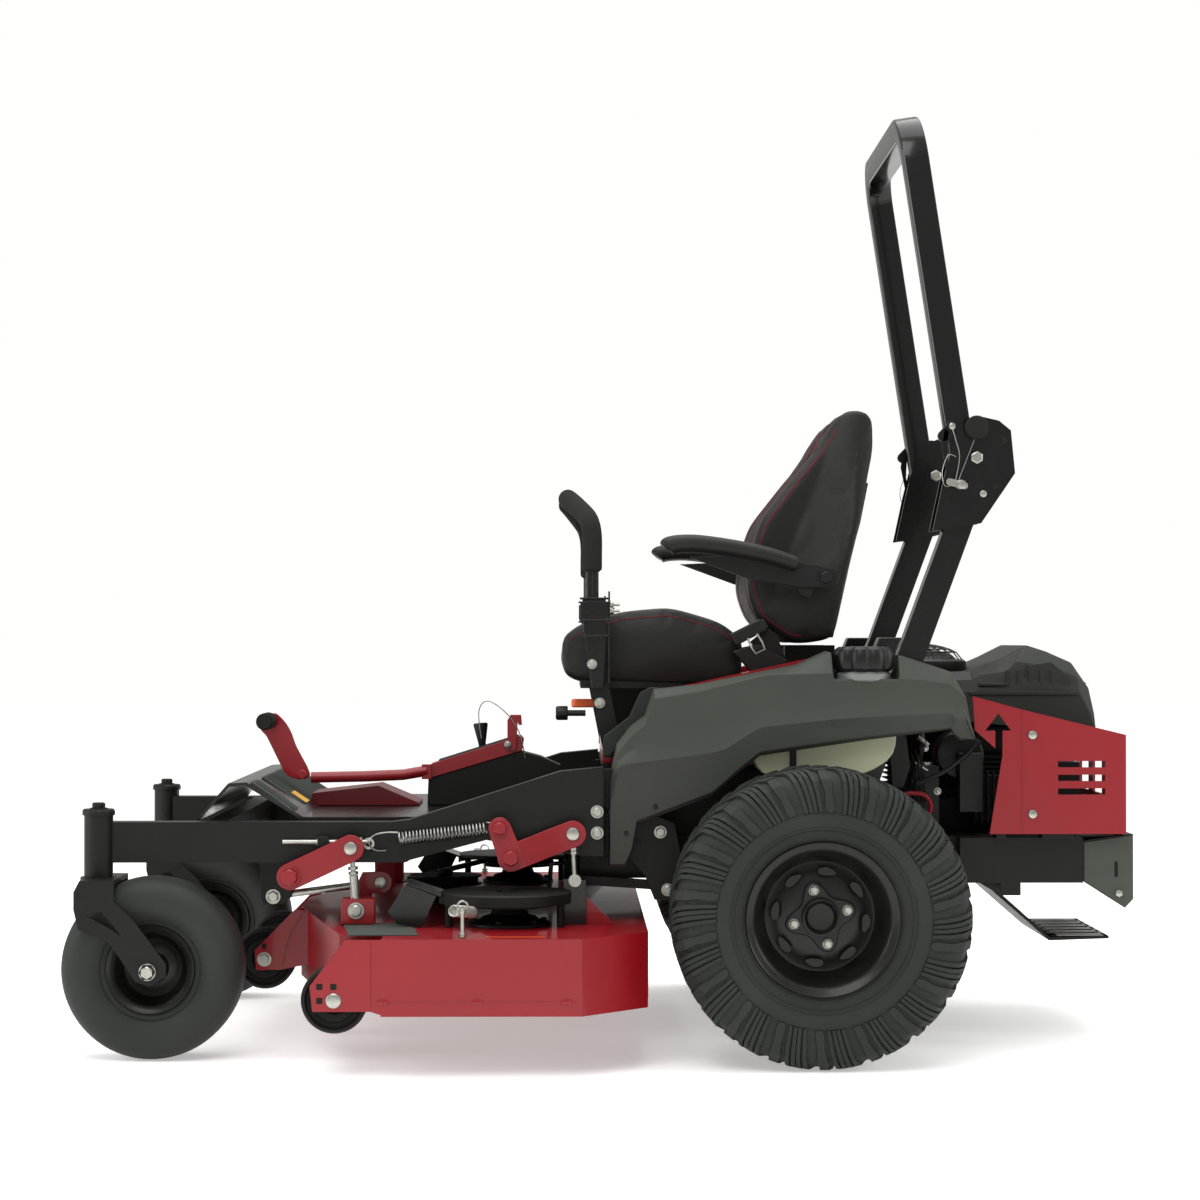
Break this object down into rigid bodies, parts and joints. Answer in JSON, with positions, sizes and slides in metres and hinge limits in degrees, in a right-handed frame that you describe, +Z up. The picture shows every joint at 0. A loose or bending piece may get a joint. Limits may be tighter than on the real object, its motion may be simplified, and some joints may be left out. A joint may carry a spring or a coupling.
{
  "type": "riding lawn mower",
  "caption": "Zero-turn riding mower: steel frame on drive wheels and front casters, hung cutting deck, lap-bar levers, padded seat, folding roll bar and rear engine.",
  "frame": {"origin": "middle of the underside of the bounding box, on the ground the wheels stand on", "axes": "+X forward, +Y the machine's left side, +Z up"},
  "size_m": [2.032, 1.759, 1.8179],
  "materials": {
    "red_paint": "gloss ruby red powder coat",
    "frame_black": "satin black powder coat",
    "gloss_black": "gloss black paint",
    "engine_black": "black enamel over castings",
    "cover_plastic": "fine grained moulding",
    "fender_plastic": "fine grained dark grey moulding",
    "tank_plastic": "natural cream polyethylene",
    "cap_plastic": "ribbed black moulding",
    "tyre_rubber": "matt black rubber",
    "caster_rubber": "smooth black rubber",
    "roller_rubber": "black rubber",
    "belt_rubber": "belt rubber",
    "chute_rubber": "moulded black rubber",
    "foam_grip": "closed cell foam",
    "armrest_vinyl": "black vinyl, moulded",
    "seat_vinyl": "black vinyl with red seams",
    "orange_plastic": "orange moulding",
    "knob_plastic": "black knob",
    "zinc": "zinc plated",
    "blade_steel": "ground steel"
  },
  "bodies": {
    "chassis": {"main_frame": "frame_black", "floor_pan": "frame_black", "rops_base": "gloss_black", "seat_base": "red_paint", "height_bracket": "red_paint", "engine_block": "engine_black", "engine_cover": "cover_plastic", "engine_guard": "red_paint", "rear_bumper": "frame_black", "fuel_tank": "tank_plastic", "fender_left": "fender_plastic", "fender_right": "fender_plastic", "transaxle_left": "engine_black", "transaxle_right": "engine_black", "lift_spring": "zinc"},
    "fuel_cap": {"fuel_cap": "cap_plastic"},
    "seat": {"seat_frame": "frame_black", "seat_cushion": "seat_vinyl", "seat_back": "seat_vinyl"},
    "seat_lever": {"seat_lever": "orange_plastic"},
    "rops_hoop": {"rops_hoop": "gloss_black"},
    "deck": {"deck_shell": "red_paint", "deck_belt": "belt_rubber"},
    "discharge_chute": {"discharge_chute": "chute_rubber"},
    "front_links": {"front_link_left": "zinc", "front_link_right": "zinc"},
    "rear_links": {"rear_link_left": "zinc", "rear_link_right": "zinc"},
    "front_rockshaft": {"front_rockshaft": "red_paint"},
    "rear_rockshaft": {"rear_rockshaft": "red_paint"},
    "lift_pedal": {"lift_pedal": "red_paint"},
    "height_pin": {"height_pin": "knob_plastic"},
    "drive_wheel_left": {"drive_rim_left": "gloss_black", "drive_tyre_left": "tyre_rubber"},
    "caster_fork_left": {"caster_fork_left": "frame_black"},
    "caster_wheel_left": {"caster_rim_left": "gloss_black", "caster_tyre_left": "caster_rubber"},
    "lever_arm_left": {"lever_arm_left": "frame_black"},
    "lever_handle_left": {"lever_handle_left": "foam_grip"},
    "rops_pin_left": {"rops_pin_left": "zinc"},
    "armrest_left": {"armrest_left": "armrest_vinyl"},
    "drive_wheel_right": {"drive_rim_right": "gloss_black", "drive_tyre_right": "tyre_rubber"},
    "caster_fork_right": {"caster_fork_right": "frame_black"},
    "caster_wheel_right": {"caster_rim_right": "gloss_black", "caster_tyre_right": "caster_rubber"},
    "lever_arm_right": {"lever_arm_right": "frame_black"},
    "lever_handle_right": {"lever_handle_right": "foam_grip"},
    "rops_pin_right": {"rops_pin_right": "zinc"},
    "armrest_right": {"armrest_right": "armrest_vinyl"},
    "spindle_centre": {"spindle_centre": "engine_black", "blade_centre": "blade_steel"},
    "spindle_left": {"spindle_left": "engine_black", "blade_left": "blade_steel"},
    "spindle_right": {"spindle_right": "engine_black", "blade_right": "blade_steel"},
    "roller_front_left": {"roller_front_left": "roller_rubber"},
    "roller_front_right": {"roller_front_right": "roller_rubber"},
    "roller_inner_left": {"roller_inner_left": "roller_rubber"},
    "roller_inner_right": {"roller_inner_right": "roller_rubber"}
  },
  "joints": [
    {"name": "drive_wheel_spin_left", "type": "hinge", "parent": "chassis", "child": "drive_wheel_left", "pos_m": [-0.398, 0.6795, 0.275], "axis": [0, 1, 0], "continuous": true},
    {"name": "caster_swivel_left", "type": "hinge", "parent": "chassis", "child": "caster_fork_left", "pos_m": [0.951, 0.5845, 0.34], "axis": [0, 0, 1], "continuous": true},
    {"name": "caster_spin_left", "type": "hinge", "parent": "caster_fork_left", "child": "caster_wheel_left", "pos_m": [0.846, 0.5845, 0.17], "axis": [0, 1, 0], "continuous": true},
    {"name": "lever_drive_left", "type": "hinge", "parent": "chassis", "child": "lever_arm_left", "pos_m": [-0.023, 0.3855, 0.57], "axis": [0, 1, 0], "range_deg": [-12, 16]},
    {"name": "lever_park_left", "type": "hinge", "parent": "lever_arm_left", "child": "lever_handle_left", "pos_m": [0.01, 0.3925, 0.69], "axis": [-1, 0, 0], "range_deg": [0, 25]},
    {"name": "rops_pin_pull_left", "type": "slide", "parent": "chassis", "child": "rops_pin_left", "axis": [0, 1, 0], "range_m": [0, 0.06]},
    {"name": "armrest_fold_left", "type": "hinge", "parent": "seat", "child": "armrest_left", "pos_m": [-0.439, 0.3545, 0.908], "axis": [0, -1, 0], "range_deg": [0, 95]},
    {"name": "drive_wheel_spin_right", "type": "hinge", "parent": "chassis", "child": "drive_wheel_right", "pos_m": [-0.398, -0.4705, 0.275], "axis": [0, 1, 0], "continuous": true},
    {"name": "caster_swivel_right", "type": "hinge", "parent": "chassis", "child": "caster_fork_right", "pos_m": [0.951, -0.3755, 0.34], "axis": [0, 0, 1], "continuous": true},
    {"name": "caster_spin_right", "type": "hinge", "parent": "caster_fork_right", "child": "caster_wheel_right", "pos_m": [0.846, -0.3755, 0.17], "axis": [0, 1, 0], "continuous": true},
    {"name": "lever_drive_right", "type": "hinge", "parent": "chassis", "child": "lever_arm_right", "pos_m": [-0.023, -0.1765, 0.57], "axis": [0, 1, 0], "range_deg": [-12, 16]},
    {"name": "lever_park_right", "type": "hinge", "parent": "lever_arm_right", "child": "lever_handle_right", "pos_m": [0.01, -0.1835, 0.69], "axis": [1, 0, 0], "range_deg": [0, 25]},
    {"name": "rops_pin_pull_right", "type": "slide", "parent": "chassis", "child": "rops_pin_right", "axis": [0, -1, 0], "range_m": [0, 0.06]},
    {"name": "armrest_fold_right", "type": "hinge", "parent": "seat", "child": "armrest_right", "pos_m": [-0.439, -0.1455, 0.908], "axis": [0, -1, 0], "range_deg": [0, 95]},
    {"name": "rops_fold", "type": "hinge", "parent": "chassis", "child": "rops_hoop", "pos_m": [-0.724, 0.1045, 1.138], "axis": [0, -1, 0], "range_deg": [0, 115]},
    {"name": "seat_slide", "type": "slide", "parent": "chassis", "child": "seat", "axis": [1, 0, 0], "range_m": [-0.055, 0.08]},
    {"name": "seat_lever_turn", "type": "hinge", "parent": "seat", "child": "seat_lever", "pos_m": [0.012, 0.2435, 0.659], "axis": [0, 0, 1], "range_deg": [-15, 15]},
    {"name": "fuel_cap_turn", "type": "hinge", "parent": "chassis", "child": "fuel_cap", "pos_m": [-0.498, 0.5245, 0.745], "axis": [0, 0, 1], "continuous": true},
    {"name": "deck_lift", "type": "slide", "parent": "chassis", "child": "deck", "axis": [0, 0, 1], "range_m": [-0.03, 0.03]},
    {"name": "front_rockshaft_turn", "type": "hinge", "parent": "chassis", "child": "front_rockshaft", "pos_m": [0.587, 0.1045, 0.342], "axis": [0, 1, 0], "range_deg": [-15, 15]},
    {"name": "rear_rockshaft_turn", "type": "hinge", "parent": "chassis", "child": "rear_rockshaft", "pos_m": [0.174, 0.1045, 0.376], "axis": [0, 1, 0], "range_deg": [-15, 15]},
    {"name": "lift_pedal_turn", "type": "hinge", "parent": "chassis", "child": "lift_pedal", "pos_m": [0.603, 0.1765, 0.514], "axis": [0, 1, 0], "range_deg": [-16, 16]},
    {"name": "front_link_turn", "type": "hinge", "parent": "deck", "child": "front_links", "pos_m": [0.464, 0.1045, 0.28], "axis": [0, 1, 0], "range_deg": [-8, 8]},
    {"name": "rear_link_turn", "type": "hinge", "parent": "deck", "child": "rear_links", "pos_m": [0.054, 0.1045, 0.333], "axis": [0, 1, 0], "range_deg": [-8, 8]},
    {"name": "chute_lift", "type": "hinge", "parent": "deck", "child": "discharge_chute", "pos_m": [0.237, -0.6745, 0.243], "axis": [-1, 0, 0], "range_deg": [0, 75]},
    {"name": "spindle_spin_centre", "type": "hinge", "parent": "deck", "child": "spindle_centre", "pos_m": [0.317, 0.1045, 0.2], "axis": [0, 0, 1], "continuous": true},
    {"name": "spindle_spin_left", "type": "hinge", "parent": "deck", "child": "spindle_left", "pos_m": [0.177, 0.6095, 0.2], "axis": [0, 0, 1], "continuous": true},
    {"name": "spindle_spin_right", "type": "hinge", "parent": "deck", "child": "spindle_right", "pos_m": [0.177, -0.4005, 0.2], "axis": [0, 0, 1], "continuous": true},
    {"name": "roller_spin_front_left", "type": "hinge", "parent": "deck", "child": "roller_front_left", "pos_m": [0.486, 0.8365, 0.14], "axis": [0, 1, 0], "continuous": true},
    {"name": "roller_spin_front_right", "type": "hinge", "parent": "deck", "child": "roller_front_right", "pos_m": [0.486, -0.6275, 0.14], "axis": [0, 1, 0], "continuous": true},
    {"name": "roller_spin_inner_left", "type": "hinge", "parent": "deck", "child": "roller_inner_left", "pos_m": [0.666, 0.2795, 0.155], "axis": [0, 1, 0], "continuous": true},
    {"name": "roller_spin_inner_right", "type": "hinge", "parent": "deck", "child": "roller_inner_right", "pos_m": [0.666, -0.0705, 0.155], "axis": [0, 1, 0], "continuous": true},
    {"name": "height_pin_pull", "type": "slide", "parent": "chassis", "child": "height_pin", "axis": [0, 0, 1], "range_m": [0, 0.04]}
  ],
  "couplings": [
    {"joint": "front_rockshaft_turn", "follows": "deck_lift", "rad_per_m": 8.48},
    {"joint": "rear_rockshaft_turn", "follows": "deck_lift", "rad_per_m": 8.44},
    {"joint": "lift_pedal_turn", "follows": "deck_lift", "rad_per_m": 8.5},
    {"joint": "front_link_turn", "follows": "deck_lift", "rad_per_m": 3.92},
    {"joint": "rear_link_turn", "follows": "deck_lift", "rad_per_m": 4.33},
    {"joint": "spindle_spin_left", "follows": "spindle_spin_centre", "ratio": 1},
    {"joint": "spindle_spin_right", "follows": "spindle_spin_centre", "ratio": 1}
  ]
}
